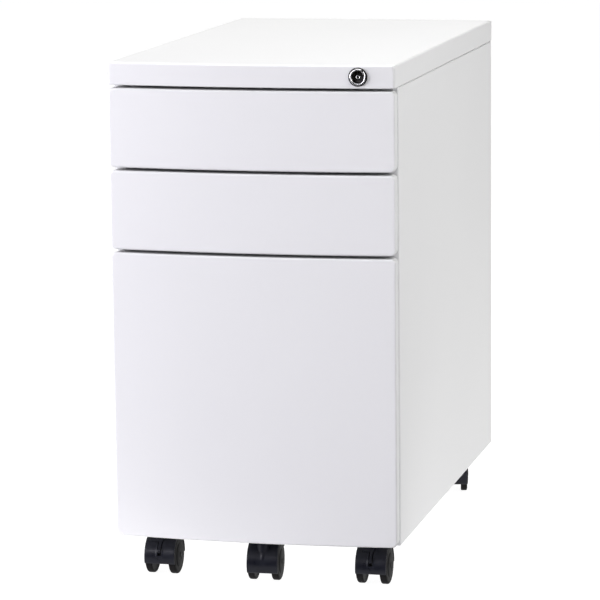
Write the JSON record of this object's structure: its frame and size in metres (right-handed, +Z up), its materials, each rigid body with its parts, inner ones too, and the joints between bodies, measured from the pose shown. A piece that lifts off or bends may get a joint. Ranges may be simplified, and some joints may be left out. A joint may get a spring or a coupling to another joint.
{
  "type": "metal filing cabinet",
  "caption": "Slim white steel mobile pedestal: box drawers over a deep file drawer, gently bowed handle-less fronts, chrome round lock in the top cover, black twin-wheel casters.",
  "frame": {"origin": "on the floor under the centre of the outline (width and full depth, from the middle of the bowed fronts to the back of the top cover)", "axes": "+Z up to the flat top; the drawer fronts face -Y, so they open towards -Y; +X is to the right when facing the fronts, where the lock is"},
  "size_m": [0.3, 0.549, 0.548],
  "materials": {
    "white_powder_coat": "fine-textured satin white powder coat on folded sheet steel",
    "zinc_steel": "zinc-plated steel strip, slightly dull",
    "bright_steel": "turned bright steel",
    "chrome": "polished chrome plate",
    "caster_nylon": "moulded black nylon, soft sheen",
    "wheel_nylon": "moulded black nylon wheel, slightly scuffed tread"
  },
  "bodies": {
    "case": {"back_panel": "white_powder_coat", "base_plate": "white_powder_coat", "caster_front_left_stem": "bright_steel", "caster_front_right_stem": "bright_steel", "caster_rear_left_stem": "bright_steel", "caster_rear_right_stem": "bright_steel", "file_slide_case_left": "zinc_steel", "file_slide_case_right": "zinc_steel", "left_side_panel": "white_powder_coat", "lock_housing": "chrome", "lock_nut": "zinc_steel", "middle_slide_case_left": "zinc_steel", "middle_slide_case_right": "zinc_steel", "right_side_panel": "white_powder_coat", "top_cover": "white_powder_coat", "top_front_rail": "white_powder_coat", "top_slide_case_left": "zinc_steel", "top_slide_case_right": "zinc_steel"},
    "lock": {"lock_plug": "chrome", "lock_rod": "zinc_steel"},
    "lock_bar": {"lock_bar": "zinc_steel"},
    "top_drawer": {"top_drawer_box": "white_powder_coat", "top_drawer_front": "white_powder_coat", "top_slide_drawer_left": "zinc_steel", "top_slide_drawer_right": "zinc_steel"},
    "middle_drawer": {"middle_drawer_box": "white_powder_coat", "middle_drawer_front": "white_powder_coat", "middle_slide_drawer_left": "zinc_steel", "middle_slide_drawer_right": "zinc_steel"},
    "file_drawer": {"caster_drawer_stem": "bright_steel", "file_drawer_box": "white_powder_coat", "file_drawer_front": "white_powder_coat", "file_rail_front": "zinc_steel", "file_rail_rear": "zinc_steel", "file_slide_drawer_left": "zinc_steel", "file_slide_drawer_right": "zinc_steel"},
    "file_middle": {"file_slide_middle_left": "zinc_steel", "file_slide_middle_right": "zinc_steel"},
    "caster_front_left": {"caster_front_left_hood": "caster_nylon", "caster_front_left_axle": "bright_steel"},
    "wheel_front_left_left": {"caster_front_left_wheel_left": "wheel_nylon"},
    "wheel_front_left_right": {"caster_front_left_wheel_right": "wheel_nylon"},
    "caster_front_right": {"caster_front_right_hood": "caster_nylon", "caster_front_right_axle": "bright_steel"},
    "wheel_front_right_left": {"caster_front_right_wheel_left": "wheel_nylon"},
    "wheel_front_right_right": {"caster_front_right_wheel_right": "wheel_nylon"},
    "caster_rear_left": {"caster_rear_left_hood": "caster_nylon", "caster_rear_left_axle": "bright_steel"},
    "wheel_rear_left_left": {"caster_rear_left_wheel_left": "wheel_nylon"},
    "wheel_rear_left_right": {"caster_rear_left_wheel_right": "wheel_nylon"},
    "caster_rear_right": {"caster_rear_right_hood": "caster_nylon", "caster_rear_right_axle": "bright_steel"},
    "wheel_rear_right_left": {"caster_rear_right_wheel_left": "wheel_nylon"},
    "wheel_rear_right_right": {"caster_rear_right_wheel_right": "wheel_nylon"},
    "caster_drawer": {"caster_drawer_hood": "caster_nylon", "caster_drawer_axle": "bright_steel"},
    "wheel_drawer_left": {"caster_drawer_wheel_left": "wheel_nylon"},
    "wheel_drawer_right": {"caster_drawer_wheel_right": "wheel_nylon"},
    "brake_front_left": {"caster_front_left_brake_pedal": "caster_nylon"},
    "brake_front_right": {"caster_front_right_brake_pedal": "caster_nylon"}
  },
  "joints": [
    {"name": "top_drawer_slide", "type": "slide", "parent": "case", "child": "top_drawer", "axis": [0, -1, 0], "range_m": [0, 0.33]},
    {"name": "middle_drawer_slide", "type": "slide", "parent": "case", "child": "middle_drawer", "axis": [0, -1, 0], "range_m": [0, 0.33]},
    {"name": "file_drawer_slide", "type": "slide", "parent": "case", "child": "file_drawer", "axis": [0, -1, 0], "range_m": [0, 0.43]},
    {"name": "file_middle_slide", "type": "slide", "parent": "case", "child": "file_middle", "axis": [0, -1, 0], "range_m": [0, 0.215]},
    {"name": "lock_turn", "type": "hinge", "parent": "case", "child": "lock", "pos_m": [0.113, -0.2655, 0.53625], "axis": [0, 1, 0], "range_deg": [0, 90]},
    {"name": "lock_bar_slide", "type": "slide", "parent": "case", "child": "lock_bar", "axis": [0, 0, 1], "range_m": [0, 0.0113]},
    {"name": "caster_front_left_swivel", "type": "hinge", "parent": "case", "child": "caster_front_left", "pos_m": [-0.114, -0.1986, 0.02], "axis": [0, 0, 1], "continuous": true},
    {"name": "wheel_front_left_left_spin", "type": "hinge", "parent": "caster_front_left", "child": "wheel_front_left_left", "pos_m": [-0.1264, -0.2106, 0.02], "axis": [1, 0, 0], "continuous": true},
    {"name": "wheel_front_left_right_spin", "type": "hinge", "parent": "caster_front_left", "child": "wheel_front_left_right", "pos_m": [-0.1016, -0.2106, 0.02], "axis": [1, 0, 0], "continuous": true},
    {"name": "caster_front_right_swivel", "type": "hinge", "parent": "case", "child": "caster_front_right", "pos_m": [0.114, -0.1986, 0.02], "axis": [0, 0, 1], "continuous": true},
    {"name": "wheel_front_right_left_spin", "type": "hinge", "parent": "caster_front_right", "child": "wheel_front_right_left", "pos_m": [0.1016, -0.2106, 0.02], "axis": [1, 0, 0], "continuous": true},
    {"name": "wheel_front_right_right_spin", "type": "hinge", "parent": "caster_front_right", "child": "wheel_front_right_right", "pos_m": [0.1264, -0.2106, 0.02], "axis": [1, 0, 0], "continuous": true},
    {"name": "caster_rear_left_swivel", "type": "hinge", "parent": "case", "child": "caster_rear_left", "pos_m": [-0.114, 0.218, 0.02], "axis": [0, 0, 1], "continuous": true},
    {"name": "wheel_rear_left_left_spin", "type": "hinge", "parent": "caster_rear_left", "child": "wheel_rear_left_left", "pos_m": [-0.1274, 0.22887, 0.02], "axis": [0.9962, 0.0872, 0], "continuous": true},
    {"name": "wheel_rear_left_right_spin", "type": "hinge", "parent": "caster_rear_left", "child": "wheel_rear_left_right", "pos_m": [-0.10269, 0.23103, 0.02], "axis": [0.9962, 0.0872, 0], "continuous": true},
    {"name": "caster_rear_right_swivel", "type": "hinge", "parent": "case", "child": "caster_rear_right", "pos_m": [0.114, 0.218, 0.02], "axis": [0, 0, 1], "continuous": true},
    {"name": "wheel_rear_right_left_spin", "type": "hinge", "parent": "caster_rear_right", "child": "wheel_rear_right_left", "pos_m": [0.09954, 0.22741, 0.02], "axis": [0.9816, 0.1908, 0], "continuous": true},
    {"name": "wheel_rear_right_right_spin", "type": "hinge", "parent": "caster_rear_right", "child": "wheel_rear_right_right", "pos_m": [0.12388, 0.23215, 0.02], "axis": [0.9816, 0.1908, 0], "continuous": true},
    {"name": "caster_drawer_swivel", "type": "hinge", "parent": "file_drawer", "child": "caster_drawer", "pos_m": [0, -0.233, 0.021], "axis": [0, 0, 1], "continuous": true},
    {"name": "wheel_drawer_left_spin", "type": "hinge", "parent": "caster_drawer", "child": "wheel_drawer_left", "pos_m": [-0.01291, -0.22155, 0.021], "axis": [0.999, 0.0436, 0], "continuous": true},
    {"name": "wheel_drawer_right_spin", "type": "hinge", "parent": "caster_drawer", "child": "wheel_drawer_right", "pos_m": [0.01187, -0.22047, 0.021], "axis": [0.999, 0.0436, 0], "continuous": true},
    {"name": "brake_front_left_tilt", "type": "hinge", "parent": "caster_front_left", "child": "brake_front_left", "pos_m": [-0.114, -0.22427, 0.03749], "axis": [1, 0, 0], "range_deg": [0, 12]},
    {"name": "brake_front_right_tilt", "type": "hinge", "parent": "caster_front_right", "child": "brake_front_right", "pos_m": [0.114, -0.22427, 0.03749], "axis": [1, 0, 0], "range_deg": [0, 12]}
  ],
  "couplings": [
    {"joint": "file_middle_slide", "follows": "file_drawer_slide", "ratio": 0.5},
    {"joint": "lock_turn", "follows": "lock_bar_slide", "rad_per_m": 139}
  ]
}
